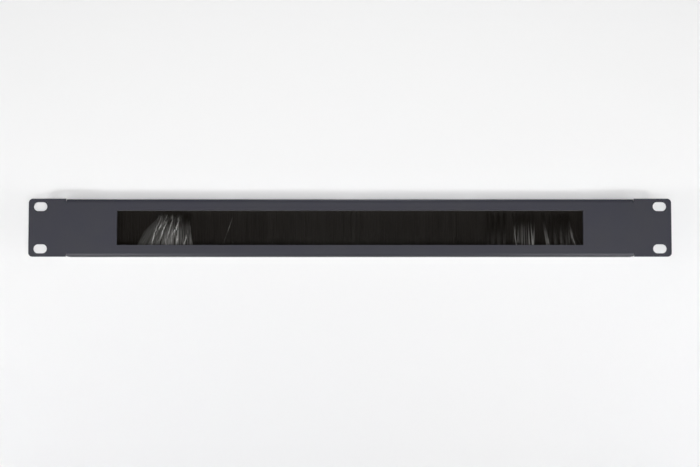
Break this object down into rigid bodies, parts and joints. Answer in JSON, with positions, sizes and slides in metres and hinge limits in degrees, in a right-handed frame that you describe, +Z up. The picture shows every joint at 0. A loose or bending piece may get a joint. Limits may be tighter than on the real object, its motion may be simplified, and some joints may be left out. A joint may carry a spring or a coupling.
{
  "type": "rack brush strip panel",
  "caption": "Flanged steel blanking panel for a 19-inch rack with a wide cable window that a hanging strip brush closes, slotted ears for bolting to the rack rails.",
  "frame": {"origin": "centre of the four mounting slots, on the rear face of the front sheet, which bears on the rack rails", "axes": "+X to the right along the panel's width, +Y towards the back of the rack, +Z up; the front face looks towards -Y"},
  "size_m": [0.4826, 0.015, 0.0436],
  "materials": {
    "powder_coated_steel": "fine-textured semi-matt black powder coat",
    "extruded_aluminium": "mill-finish extrusion with fine lengthwise die lines",
    "galvanised_steel": "cold-rolled galvanised strip, satin",
    "drawn_steel_wire": "drawn bright wire",
    "black_nylon": "black nylon filaments, glossy along each one",
    "rivet_aluminium": "plain aluminium alloy, satin"
  },
  "bodies": {
    "root": {"panel": "powder_coated_steel", "brush_holder": "extruded_aluminium", "backing_channel": "galvanised_steel", "core_wire": "drawn_steel_wire", "bristles": "black_nylon", "rivet_1": "rivet_aluminium", "rivet_2": "rivet_aluminium", "rivet_3": "rivet_aluminium", "rivet_4": "rivet_aluminium", "rivet_5": "rivet_aluminium", "rivet_mandrel_1": "drawn_steel_wire", "rivet_mandrel_2": "drawn_steel_wire", "rivet_mandrel_3": "drawn_steel_wire", "rivet_mandrel_4": "drawn_steel_wire", "rivet_mandrel_5": "drawn_steel_wire"}
  },
  "joints": []
}
